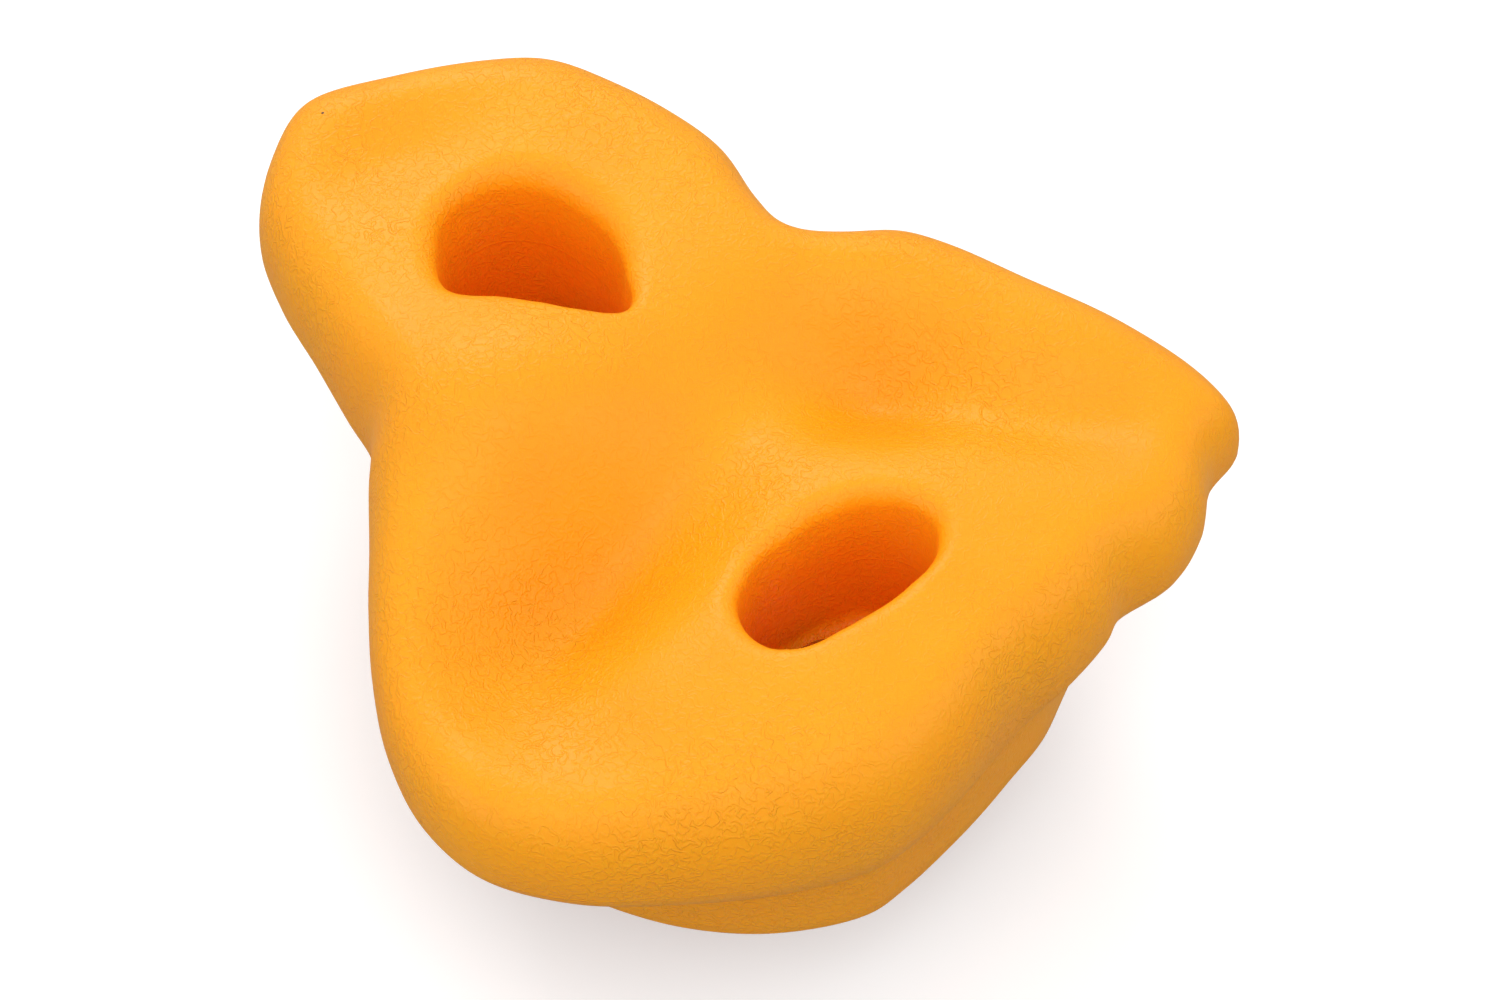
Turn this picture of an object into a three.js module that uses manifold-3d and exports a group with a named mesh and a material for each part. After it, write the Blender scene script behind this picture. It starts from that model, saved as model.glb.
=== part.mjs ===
// A moulded plastic climbing hold for a play wall, with the bolts, washers and T-nuts that fix it.
// Millimetres, +Z out of the wall. The origin lies on the wall plane, midway between the two bolts.
// +X runs from the bolt in the deep pocket to the bolt in the oval pocket.
import * as THREE from "three";
import { mergeVertices } from "three/addons/utils/BufferGeometryUtils.js";
import Module from "manifold-3d";

const wasm = await Module();
wasm.setup();

// Moulding, overall
const holdReach = 93;
const holdHeight = 55;
const boltSpacing = 76;
const plateauHeight = 46;
const partingHeight = 27;
const lipReach = 11;
const underlipDrop = 9;
const lipFullness = 2.3;

// Moulding, hollow back
const skirtWall = 4;
const roofThickness = 4.5;
const bossWall = 4;
const ribThickness = 3;
const ribPitch = 18.5;
const centrePadDiameter = 14;

// Pockets and bolt seats
const seatHeight = 6;
const ledgeHeight = 9;
const deepDraft = 2.5;
const ovalDraft = 1.5;
const boltHoleDiameter = 9;
const wellClearance = 0.4;
const headClearance = 0.9;

// Fixings: M8 button head bolt, flat washer, spring washer and pronged T-nut
const boltDiameter = 8;
const boltLength = 40;
const boltHeadDiameter = 14;
const boltHeadHeight = 4.4;
const boltHeadRim = 0.8;
const boltHeadFlat = 7.5;
const boltTipChamfer = 1.2;
const hexSocketSize = 5;
const hexSocketDepth = 2.6;
const flatWasherDiameter = 16;
const flatWasherBore = 8.6;
const flatWasherThickness = 1.6;
const springWasherDiameter = 13.4;
const springWasherBore = 8.6;
const springWasherThickness = 2.1;
const springWasherSplit = 0.9;
const panelThickness = 18;
const nutFlangeDiameter = 20;
const nutFlangeThickness = 1.5;
const nutBarrelDiameter = 11;
const nutBarrelLength = 9.5;
const prongCount = 4;
const prongLength = 8;
const prongWidth = 5;
const prongTipWidth = 1.6;
const prongThickness = 1.2;
const seatGap = 0.3;
const threadGap = 0.35;
const cutOverrun = 2;
const weldDistance = 1e-4;
const touching = 1e-3;

// Mesh steps
const outlineSteps = 2;
const dividerSteps = 14;
const roundSides = 32;
const domeSteps = 4;
const socketSides = 6;

// Outline seen from above, one row for each turn: bearing, reach share and skirt share of holdReach
const outlineShares = [
  [-172, 1.005, 0.71],
  [178, 0.945, 0.7],
  [168, 0.892, 0.67],
  [160, 0.848, 0.635],
  [152, 0.764, 0.58],
  [144, 0.686, 0.525],
  [136, 0.613, 0.48],
  [128, 0.522, 0.44],
  [120, 0.481, 0.425],
  [111, 0.51, 0.44],
  [102, 0.577, 0.485],
  [93, 0.624, 0.525],
  [82, 0.688, 0.57],
  [70, 0.81, 0.625],
  [60, 0.93, 0.67],
  [55, 0.967, 0.695],
  [50, 0.914, 0.71],
  [44, 0.903, 0.72],
  [38, 0.87, 0.725],
  [32, 0.8, 0.73],
  [28, 0.795, 0.73],
  [21, 0.772, 0.735],
  [13, 0.742, 0.732],
  [7, 0.748, 0.738],
  [1, 0.768, 0.748],
  [-8, 0.797, 0.772],
  [-14, 0.807, 0.787],
  [-26, 0.812, 0.773],
  [-38, 0.822, 0.747],
  [-50, 0.846, 0.717],
  [-61, 0.852, 0.695],
  [-70, 0.818, 0.665],
  [-79, 0.757, 0.625],
  [-88, 0.69, 0.575],
  [-98, 0.627, 0.535],
  [-108, 0.583, 0.505],
  [-119, 0.562, 0.495],
  [-130, 0.56, 0.495],
  [-138, 0.62, 0.52],
  [-146, 0.708, 0.56],
  [-152, 0.808, 0.6],
  [-158, 0.905, 0.64],
  [-165, 0.97, 0.68],
];
const deepSideTurn = 120;
const ovalSideTurn = -119;

// The face is meshed round each pocket; the two meshes meet on a line between the notches, through
// these places as shares of holdReach
const dividerShares = [[-0.175, -0.25], [-0.1, -0.03], [-0.15, 0.2]];

// Pocket mouths about their own centres: bearing, reach share and rim rounding share of holdReach
const deepMouthShares = [
  [15, 0.205, 0.03],
  [40, 0.165, 0.045],
  [70, 0.145, 0.055],
  [110, 0.14, 0.06],
  [147, 0.165, 0.06],
  [175, 0.185, 0.055],
  [-160, 0.19, 0.05],
  [-135, 0.175, 0.05],
  [-100, 0.165, 0.045],
  [-65, 0.118, 0.035],
  [-31, 0.122, 0.03],
  [-8, 0.155, 0.03],
];
const ovalMouthShares = [
  [0, 0.104, 0.03],
  [38, 0.124, 0.035],
  [73, 0.185, 0.04],
  [92, 0.188, 0.045],
  [113, 0.16, 0.05],
  [146, 0.12, 0.05],
  [-170, 0.11, 0.05],
  [-126, 0.15, 0.045],
  [-107, 0.175, 0.045],
  [-84, 0.185, 0.04],
  [-66, 0.172, 0.035],
  [-33, 0.12, 0.03],
];
const deepCentreShares = [-0.42, -0.02];
const ovalCentreShares = [0.402, 0.01];

// Hills and hollows of the gripping face: x, y, long and short half widths as shares of holdReach,
// turn of the long side in degrees, rise as a share of holdHeight, steepness of the edge
const reliefShares = [
  [-0.21, -0.22, 0.28, 0.2, 54, 0.17, 1],
  [0.13, -0.3, 0.3, 0.145, 98, -0.28, 1],
  [0.32, -0.52, 0.19, 0.15, -10, -0.07, 1],
  [0.11, 0.31, 0.16, 0.13, 45, -0.22, 1],
  [0.36, 0.49, 0.22, 0.1, 42, -0.09, 1],
  [0, 0.1, 0.2, 0.14, 100, -0.07, 1],
  [0.58, 0.05, 0.38, 0.36, 90, 0.04, 2],
  [0.57, -0.1, 0.14, 0.11, 100, 0.03, 1],
  [-0.75, -0.09, 0.16, 0.1, 80, -0.06, 1],
  [0.69, 0.42, 0.12, 0.05, 35, -0.02, 1],
  [0.7, 0.17, 0.12, 0.05, 12, -0.02, 1],
];

// Spacing of the mesh rows from a pocket mouth to the outline, and of the rows under the lip
const faceRowShares = [
  0, 0.05, 0.11, 0.18, 0.26, 0.34, 0.42, 0.5, 0.58, 0.66, 0.74, 0.82, 0.89, 0.94, 0.98, 1,
];
const underlipShares = [0, 0.15, 0.45, 1];
const pocketRowShares = [0, 0.3, 0.65, 1];
const ceilingRowShares = [0, 0.12, 0.24, 0.36, 0.48, 0.6, 0.7, 0.8, 0.88, 0.95, 1];

const rad = THREE.MathUtils.degToRad;

// A closed smooth loop through rows of bearing and reach
function smoothLoop(rows, column, centre) {
  const points = rows.map((row) => {
    const reach = row[column] * holdReach;
    const bearing = rad(row[0]);
    return new THREE.Vector3(
      centre.x + reach * Math.cos(bearing), centre.y + reach * Math.sin(bearing), 0);
  });
  return new THREE.CatmullRomCurve3(points, true, "centripetal");
}

// The points of a loop, stepCount to each row of its table
function loopPoints(rows, column, centre, stepCount) {
  const curve = smoothLoop(rows, column, centre);
  const total = rows.length * stepCount;
  return Array.from({ length: total }, (unused, k) => {
    const p = curve.getPoint(k / total);
    return new THREE.Vector2(p.x, p.y);
  });
}

const origin = new THREE.Vector2(0, 0);
const outline = loopPoints(outlineShares, 1, origin, outlineSteps);
const skirt = loopPoints(outlineShares, 2, origin, outlineSteps);

const deepPocket = {
  rows: deepMouthShares,
  centre: new THREE.Vector2(...deepCentreShares).multiplyScalar(holdReach),
  floor: seatHeight,
  draft: deepDraft,
};
const ovalPocket = {
  rows: ovalMouthShares,
  centre: new THREE.Vector2(...ovalCentreShares).multiplyScalar(holdReach),
  floor: ledgeHeight,
  draft: ovalDraft,
};
const pockets = [deepPocket, ovalPocket];
pockets.forEach((pocket) => {
  pocket.mouth = loopPoints(pocket.rows, 1, pocket.centre, outlineSteps * 2);
});

// Reach of a pocket's mouth, and the rounding of its rim, on the bearing of a point from its centre
function mouthAt(pocket, point) {
  const bearing = Math.atan2(point.y - pocket.centre.y, point.x - pocket.centre.x);
  const rows = [...pocket.rows].sort((a, b) => a[0] - b[0]);
  const turn = THREE.MathUtils.radToDeg(bearing);
  const next = rows.findIndex((row) => row[0] > turn);
  const after = next < 0 ? 0 : next;
  const at = (k) => rows[(k + rows.length) % rows.length];
  const span = (to, from) => (to[0] - from[0] + 360) % 360;
  const share = ((turn - at(after - 1)[0] + 360) % 360) / span(at(after), at(after - 1));
  const ease = (column) => {
    const [a, b, c, d] = [-2, -1, 0, 1].map((k) => at(after + k)[column]);
    const slopeIn = (c - a) / 2;
    const slopeOut = (d - b) / 2;
    return THREE.MathUtils.lerp(b, c, share)
      + share * (1 - share) * ((1 - share) * (slopeIn - (c - b)) + share * ((c - b) - slopeOut));
  };
  return { reach: ease(1) * holdReach, rounding: Math.max(ease(2), 0) * holdReach, bearing };
}

// Depth of a point inside a closed loop. Each stretch counts by its nearness cubed: beside a
// straight edge that gives the plain distance, and it leaves no crease between two edges
function depthInside(point, loop) {
  const least = touching ** 2;
  const nearness = loop.reduce((sum, start, k) => {
    const end = loop[(k + 1) % loop.length];
    const length = start.distanceTo(end);
    const arm = point.clone().sub(start);
    const passed = arm.dot(end.clone().sub(start)) / length;
    const reach = arm.lengthSq() + least;
    const onward = point.distanceToSquared(end) + least;
    const ends = passed / Math.sqrt(reach) + (length - passed) / Math.sqrt(onward);
    return sum + ends / Math.max(reach - passed ** 2, least);
  }, 0);
  return Math.sqrt(Math.max(2 / nearness - 2 * least, 0));
}

// Height of the gripping face before its lip and rims are rounded
function reliefHeight(point) {
  return reliefShares.reduce((height, [x, y, long, short, turn, rise, edge]) => {
    const offset = point.clone().sub(new THREE.Vector2(x, y).multiplyScalar(holdReach));
    offset.rotateAround(origin, -rad(turn));
    const spread = (offset.x / (long * holdReach)) ** 2 + (offset.y / (short * holdReach)) ** 2;
    return height + rise * holdHeight * Math.exp(-(spread ** edge));
  }, plateauHeight);
}

// Height of the finished gripping face
function faceHeight(point) {
  const relief = reliefHeight(point);
  const inland = Math.min(depthInside(point, outline) / lipReach, 1);
  const roll = (1 - (1 - inland) ** lipFullness) ** (1 / lipFullness);
  let height = THREE.MathUtils.lerp(partingHeight, relief, roll);
  pockets.forEach((pocket) => {
    const mouth = mouthAt(pocket, point);
    const past = point.distanceTo(pocket.centre) - mouth.reach;
    if (past < mouth.rounding) {
      const inward = mouth.rounding - Math.max(past, 0);
      height -= mouth.rounding - Math.sqrt(mouth.rounding ** 2 - inward ** 2);
    }
  });
  return height;
}

const lift = (point, height) => new THREE.Vector3(point.x, point.y, height);

// Triangles gathered from rows of points, then merged into one closed solid
class Surface {
  constructor() {
    this.corners = [];
  }

  triangle(a, b, c) {
    this.corners.push(a, b, c);
  }

  // Joins two rows of as many points; the first row lies to the left of the way they run
  bridge(left, right, closed = true) {
    const count = closed ? left.length : left.length - 1;
    for (let k = 0; k < count; k += 1) {
      const next = (k + 1) % left.length;
      this.triangle(left[k], right[k], right[next]);
      this.triangle(left[k], right[next], left[next]);
    }
  }

  cap(loop, centre, up) {
    loop.forEach((a, k) => {
      const b = loop[(k + 1) % loop.length];
      if (up) this.triangle(centre, a, b);
      else this.triangle(centre, b, a);
    });
  }

  solid() {
    const flat = this.corners.flatMap((p) => [p.x, p.y, p.z]);
    const geometry = new THREE.BufferGeometry();
    geometry.setAttribute("position", new THREE.Float32BufferAttribute(flat, 3));
    return solidOf(geometry);
  }
}

// A closed three.js geometry as a manifold solid
function solidOf(geometry) {
  const bare = geometry.index ? geometry.toNonIndexed() : geometry.clone();
  bare.deleteAttribute("normal");
  bare.deleteAttribute("uv");
  const merged = mergeVertices(bare, weldDistance);
  return new wasm.Manifold(new wasm.Mesh({
    numProp: 3,
    vertProperties: merged.attributes.position.array,
    triVerts: new Uint32Array(merged.index.array),
  }));
}

// A manifold solid as a three.js geometry
function geometryOf(solid) {
  const mesh = solid.getMesh();
  const geometry = new THREE.BufferGeometry();
  geometry.setAttribute("position", new THREE.BufferAttribute(mesh.vertProperties, 3));
  geometry.setIndex(new THREE.BufferAttribute(mesh.triVerts, 1));
  geometry.computeVertexNormals();
  return geometry;
}

// An upright round bar from one height to another
function roundBar(diameter, low, high, at = origin) {
  const geometry = new THREE.CylinderGeometry(diameter / 2, diameter / 2, high - low, roundSides);
  geometry.rotateX(Math.PI / 2);
  geometry.translate(at.x, at.y, (low + high) / 2);
  return solidOf(geometry);
}

// A pocket's loop shrunk towards its centre, or grown away from it
function grownLoop(pocket, growth) {
  return pocket.mouth.map((p) => {
    const arm = p.clone().sub(pocket.centre);
    return pocket.centre.clone().add(arm.setLength(arm.length() + growth));
  });
}

// The part of the gripping face round one pocket, from its mouth to the outline and the divider
function faceRound(surface, pocket, rim) {
  const inner = rim.map((p) => {
    const mouth = mouthAt(pocket, p);
    return new THREE.Vector2(Math.cos(mouth.bearing), Math.sin(mouth.bearing))
      .multiplyScalar(mouth.reach).add(pocket.centre);
  });
  const rows = faceRowShares.map((share) => rim.map((p, k) => {
    const point = share === 1 ? p : inner[k].clone().lerp(p, share);
    return lift(point, faceHeight(point));
  }));
  for (let k = 1; k < rows.length; k += 1) surface.bridge(rows[k - 1], rows[k]);
  const top = rows[0];
  const depthRows = pocketRowShares.map((share) => inner.map((p, k) => {
    const height = THREE.MathUtils.lerp(top[k].z, pocket.floor, share);
    const taper = (top[k].z - height) * Math.tan(rad(pocket.draft));
    const arm = p.clone().sub(pocket.centre);
    const point = arm.setLength(arm.length() - taper).add(pocket.centre);
    return share === 0 ? top[k] : lift(point, height);
  }));
  for (let k = 1; k < depthRows.length; k += 1) surface.bridge(depthRows[k], depthRows[k - 1]);
  surface.cap(depthRows.at(-1), lift(pocket.centre, pocket.floor), true);
}

// The moulding before its back is hollowed
function holdBlock() {
  const rowOf = (turn) => outlineShares.findIndex((row) => row[0] === turn) * outlineSteps;
  const deepTurn = rowOf(deepSideTurn);
  const ovalTurn = rowOf(ovalSideTurn);
  const from = outline[ovalTurn];
  const to = outline[deepTurn];
  const between = dividerShares.map(
    ([x, y]) => new THREE.Vector2(x, y).multiplyScalar(holdReach));
  const curve = new THREE.SplineCurve([from, ...between, to]);
  // Steps along the divider shorten towards its two ends, on the lip
  const divider = Array.from({ length: dividerSteps - 1 }, (unused, k) => {
    const even = (k + 1) / dividerSteps;
    return curve.getPoint((even + (1 - Math.cos(Math.PI * even)) / 2) / 2);
  });
  // The table runs clockwise, so both rims are turned to run anticlockwise
  const ovalArc = outline.slice(deepTurn, ovalTurn + 1).reverse();
  const deepArc = [...outline.slice(ovalTurn), ...outline.slice(0, deepTurn + 1)].reverse();
  const surface = new Surface();
  faceRound(surface, ovalPocket, [...ovalArc, ...[...divider].reverse()]);
  faceRound(surface, deepPocket, [...deepArc, ...divider]);
  const around = outline.map((p, k) => k).reverse();
  const underRows = underlipShares.map((share) => around.map((k) => {
    const inward = 1 - share;
    const height = partingHeight - underlipDrop * Math.sqrt(1 - inward ** 2);
    return lift(share === 0 ? outline[k] : outline[k].clone().lerp(skirt[k], share), height);
  }));
  const foot = around.map((k) => lift(skirt[k], 0));
  [...underRows, foot].reduce((upper, lower) => {
    surface.bridge(upper, lower);
    return lower;
  });
  surface.cap(foot, lift(origin, 0), false);
  return surface.solid();
}

// A loft through loops at their own heights, closed at both ends
function loft(rows) {
  const surface = new Surface();
  for (let k = 1; k < rows.length; k += 1) surface.bridge(rows[k], rows[k - 1]);
  const middle = (row) => row.reduce((sum, p) => sum.add(p), new THREE.Vector3())
    .divideScalar(row.length);
  surface.cap(rows.at(-1), middle(rows.at(-1)), true);
  surface.cap(rows[0], middle(rows[0]), false);
  return surface.solid();
}

// The space inside the skirt, up to the underside of the roof
function hollowSpace() {
  const around = skirt.map((p) => p.clone().setLength(p.length() - skirtWall)).reverse();
  const surface = new Surface();
  const ceiling = ceilingRowShares.slice(1).map((share) => around.map((p) => {
    const point = p.clone().multiplyScalar(share);
    return lift(point, ceilingHeight(point));
  }));
  surface.cap(ceiling[0], lift(origin, ceilingHeight(origin)), true);
  ceiling.reduce((inner, outer) => {
    surface.bridge(inner, outer);
    return outer;
  });
  const foot = around.map((p) => lift(p, -cutOverrun));
  surface.bridge(ceiling.at(-1), foot);
  surface.cap(foot, lift(origin, -cutOverrun), false);
  return surface.solid();
}

// The roof is one thickness under the face; inside a pocket's boss the height no longer matters
function ceilingHeight(point) {
  return faceHeight(point) - roofThickness;
}

// The wall that stays round each pocket down to the wall plane
function pocketBoss(pocket) {
  const loop = grownLoop(pocket, bossWall);
  return loft([-2 * cutOverrun, holdHeight + cutOverrun].map(
    (height) => loop.map((p) => lift(p, height))));
}

// Crossed ribs and the pad where the two middle ribs meet
function ribs() {
  const reachPitches = Math.floor(holdReach / ribPitch);
  const height = holdHeight + 2 * cutOverrun;
  let web = roundBar(centrePadDiameter, -cutOverrun, height - cutOverrun);
  for (let k = -reachPitches; k <= reachPitches; k += 1) {
    const across = new THREE.BoxGeometry(ribThickness, 2 * holdReach, height);
    across.translate(k * ribPitch, 0, height / 2 - cutOverrun);
    const along = new THREE.BoxGeometry(2 * holdReach, ribThickness, height);
    along.translate(0, k * ribPitch, height / 2 - cutOverrun);
    web = web.add(solidOf(across)).add(solidOf(along));
  }
  return web;
}

// Stack on each bolt, from the seat up
const flatWasherLow = seatHeight + seatGap;
const springWasherLow = flatWasherLow + flatWasherThickness + seatGap;
const boltUnderHead = springWasherLow + springWasherThickness + seatGap;

const boltPlaces = [-1, 1].map((side) => new THREE.Vector2(side * boltSpacing / 2, 0));
const wellDiameter = flatWasherDiameter + 2 * wellClearance;
const headRoomDiameter = boltHeadDiameter + 2 * headClearance;
const headRoomTop = boltUnderHead + boltHeadHeight + seatGap;

function holdBody() {
  const hollow = pockets.reduce((space, pocket) => space.subtract(pocketBoss(pocket)), hollowSpace());
  let body = holdBlock().subtract(hollow.subtract(ribs()));
  boltPlaces.forEach((place) => {
    body = body.subtract(roundBar(boltHoleDiameter, -cutOverrun, plateauHeight, place));
    body = body.subtract(roundBar(wellDiameter, seatHeight, ledgeHeight + cutOverrun, place));
    body = body.subtract(roundBar(headRoomDiameter, ledgeHeight, headRoomTop, place));
  });
  return body;
}

function buttonBolt() {
  const head = boltHeadDiameter / 2;
  const shank = boltDiameter / 2;
  // The dome falls from the flat round the socket to the rim of the head
  const dome = Array.from({ length: domeSteps + 1 }, (unused, k) => {
    const turn = k / domeSteps * Math.PI / 2;
    return [
      THREE.MathUtils.lerp(boltHeadFlat / 2, head, Math.cos(turn)),
      THREE.MathUtils.lerp(boltHeadRim, boltHeadHeight, Math.sin(turn)),
    ];
  });
  const profile = [
    [0, -boltLength],
    [shank - boltTipChamfer, -boltLength],
    [shank, -boltLength + boltTipChamfer],
    [shank, 0],
    [head, 0],
    ...dome,
    [0, boltHeadHeight],
  ].map(([radius, height]) => new THREE.Vector2(radius, height));
  const blank = new THREE.LatheGeometry(profile, roundSides).rotateX(Math.PI / 2);
  const corner = hexSocketSize / Math.sqrt(3);
  const depth = hexSocketDepth + cutOverrun;
  const key = new THREE.CylinderGeometry(corner, corner, depth, socketSides).rotateX(Math.PI / 2);
  key.translate(0, 0, boltHeadHeight - hexSocketDepth + depth / 2);
  return solidOf(blank).subtract(solidOf(key));
}

function flatWasher() {
  return roundBar(flatWasherDiameter, 0, flatWasherThickness)
    .subtract(roundBar(flatWasherBore, -cutOverrun, flatWasherThickness + cutOverrun));
}

function springWasher() {
  const split = new THREE.BoxGeometry(springWasherDiameter, springWasherSplit, 2 * springWasherDiameter);
  split.rotateX(Math.PI / 4);
  split.translate(springWasherDiameter / 2, 0, springWasherThickness / 2);
  return roundBar(springWasherDiameter, 0, springWasherThickness)
    .subtract(roundBar(springWasherBore, -cutOverrun, springWasherThickness + cutOverrun))
    .subtract(solidOf(split));
}

// The nut's flange lies behind the panel; its barrel and prongs reach forward into the panel
function prongedNut() {
  const bore = boltDiameter + 2 * threadGap;
  let nut = roundBar(nutFlangeDiameter, -nutFlangeThickness, 0)
    .add(roundBar(nutBarrelDiameter, -nutFlangeThickness / 2, nutBarrelLength));
  const prongShape = new THREE.Shape([
    new THREE.Vector2(-prongWidth / 2, -nutFlangeThickness / 2),
    new THREE.Vector2(prongWidth / 2, -nutFlangeThickness / 2),
    new THREE.Vector2(prongTipWidth / 2, prongLength),
    new THREE.Vector2(-prongTipWidth / 2, prongLength),
  ]);
  for (let k = 0; k < prongCount; k += 1) {
    const prong = new THREE.ExtrudeGeometry(prongShape, { depth: prongThickness, bevelEnabled: false });
    prong.rotateX(Math.PI / 2);
    prong.translate(0, nutFlangeDiameter / 2 - prongThickness / 2, 0);
    prong.rotateZ(k * 2 * Math.PI / prongCount);
    nut = nut.add(solidOf(prong));
  }
  return nut.subtract(roundBar(bore, -nutFlangeThickness - cutOverrun, nutBarrelLength + cutOverrun));
}

const plastic = { color: "#ffb52b", roughness: 0.45, metalness: 0 };
const zincSteel = { color: "#b9bcc0", roughness: 0.35, metalness: 1 };

function piece(name, solid, finish, at = origin, height = 0) {
  const mesh = new THREE.Mesh(geometryOf(solid), new THREE.MeshStandardMaterial(finish));
  mesh.name = name;
  mesh.position.set(at.x, at.y, height);
  return mesh;
}

const hold = new THREE.Group();
hold.name = "climbing_hold";
hold.add(piece("hold_body", holdBody(), plastic));
boltPlaces.forEach((place, k) => {
  const fixing = new THREE.Group();
  const number = k + 1;
  fixing.add(
    piece(`flat_washer_${number}`, flatWasher(), zincSteel, place, flatWasherLow),
    piece(`spring_washer_${number}`, springWasher(), zincSteel, place, springWasherLow),
    piece(`bolt_${number}`, buttonBolt(), zincSteel, place, boltUnderHead),
    piece(`t_nut_${number}`, prongedNut(), zincSteel, place, -panelThickness),
  );
  hold.add(fixing);
});

export default hold;
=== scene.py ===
"""Looks of a three-lobed moulded climbing hold and of the fixings in its two pockets.

Every length is in metres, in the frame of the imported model: the origin lies on the wall plane,
midway between the two bolts, +Z points out of the wall, and +X runs from the deep pocket's bolt to
the oval pocket's bolt.
"""

from __future__ import annotations

import logging
import math
from dataclasses import dataclass, field
from enum import Enum
from typing import Sequence

import bmesh
import bpy
import numpy as np
from bmesh.types import BMesh as Shape
from bpy.types import Material, Node, NodeTree, Object
from bpy.types import NodeSocket as Socket, ShaderNodeTree as Effect
from mathutils import Matrix, Vector


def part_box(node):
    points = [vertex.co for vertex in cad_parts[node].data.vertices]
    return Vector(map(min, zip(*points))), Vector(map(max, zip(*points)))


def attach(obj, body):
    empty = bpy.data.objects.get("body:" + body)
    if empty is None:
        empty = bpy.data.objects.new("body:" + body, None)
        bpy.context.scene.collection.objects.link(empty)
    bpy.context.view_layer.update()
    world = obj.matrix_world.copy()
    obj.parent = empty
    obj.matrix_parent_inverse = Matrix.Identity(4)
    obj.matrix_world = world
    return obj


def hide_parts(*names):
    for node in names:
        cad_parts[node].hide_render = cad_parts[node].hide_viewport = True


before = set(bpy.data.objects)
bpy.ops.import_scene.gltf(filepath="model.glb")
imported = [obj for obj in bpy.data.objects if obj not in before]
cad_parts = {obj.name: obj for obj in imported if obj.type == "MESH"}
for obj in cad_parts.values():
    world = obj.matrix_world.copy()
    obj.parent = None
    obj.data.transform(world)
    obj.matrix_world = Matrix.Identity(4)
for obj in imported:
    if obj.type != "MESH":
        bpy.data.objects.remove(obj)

log = logging.getLogger("climbing_hold")

MM = 0.001
WELD = 1e-7
CENTRE = Vector((0, 0, 0))
WHITE = (1.0, 1.0, 1.0)

Pair = tuple[float, float]
Colour = tuple[float, float, float]
Rows = Sequence[Sequence[float]]


class Body(Enum):
    """The rigid bodies that pieces ride on."""

    HOLD = "hold"
    WASHERS = "washers_{}"
    BOLT = "bolt_{}"

    def name_for(self, number: int = 0) -> str:
        """Returns the body's name for one of the two bolts."""
        return self.value.format(number)


class Slot(Enum):
    """Names for the finishes that may be repainted; nothing in this script uses them."""

    PLASTIC = "body_plastic"
    ZINC = "zinc_steel"


class Carve(Enum):
    """What one closed mesh does to another."""

    JOIN = "UNION"
    CUT = "DIFFERENCE"
    TRIM = "INTERSECT"


class Line(Enum):
    """The loops in the outline table, by their columns."""

    OUTLINE = 1
    SKIRT = 2


# Mesh helpers


def linked(name: str, shape: Shape) -> Object:
    """Links a mesh under construction as an object at the origin, and frees it."""
    mesh = bpy.data.meshes.new(name)
    shape.to_mesh(mesh)
    shape.free()
    piece = bpy.data.objects.new(name, mesh)
    bpy.context.collection.objects.link(piece)
    return piece


def finished_object(name: str, shape: Shape, material: Material,
                    sharp_angle: float = 180) -> Object:
    """Turns a mesh under construction into a smooth-shaded piece.

    Args:
        name: name of the piece.
        shape: the mesh, freed here.
        material: the piece's finish.
        sharp_angle: edges bent further than this, in degrees, stay sharp.

    Returns:
        The linked object.
    """
    for face in shape.faces:
        face.smooth = True
    for edge in shape.edges:
        bend = edge.calc_face_angle(0.0) if edge.is_manifold else 0.0
        edge.smooth = bend <= math.radians(sharp_angle)
    piece = linked(name, shape)
    piece.data.materials.append(material)
    return piece


def closed(shape: Shape) -> Shape:
    """Welds doubled vertices, closes every open loop of edges and turns the faces outwards."""
    bmesh.ops.remove_doubles(shape, verts=shape.verts, dist=WELD)
    open_edges = [edge for edge in shape.edges if edge.is_boundary]
    bmesh.ops.holes_fill(shape, edges=open_edges, sides=0)
    bmesh.ops.recalc_face_normals(shape, faces=shape.faces)
    return shape


def tubes(*grids: np.ndarray) -> Shape:
    """Wraps grids of points round into tubes, welds them to each other and closes their ends.

    Args:
        grids: places, as rows by columns by three coordinates.

    Returns:
        One closed mesh.
    """
    shape = bmesh.new()
    for grid in grids:
        rows = np.concatenate([grid, grid[:, :1]], axis=1)
        made = bmesh.ops.create_grid(shape, x_segments=rows.shape[1] - 1,
                                     y_segments=rows.shape[0] - 1, size=1)
        for vert, place in zip(made["verts"], rows.reshape(-1, 3)):
            vert.co = place
    return closed(shape)


def combined(base: Shape, tool: Shape, how: Carve) -> Shape:
    """Joins, cuts or trims one closed mesh with another.

    Args:
        base: the mesh that is changed, freed here.
        tool: the mesh that changes it, freed here.
        how: what the tool does.

    Returns:
        The new mesh.
    """
    first, second = linked("base", base), linked("tool", tool)
    step = first.modifiers.new("boolean", "BOOLEAN")
    step.operation = how.value
    step.solver = "MANIFOLD"
    step.object = second
    graph = bpy.context.evaluated_depsgraph_get()
    shape = bmesh.new()
    shape.from_mesh(first.evaluated_get(graph).to_mesh())
    for used in (first, second):
        # Its object goes with the mesh.
        bpy.data.meshes.remove(used.data)
    return shape


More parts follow.
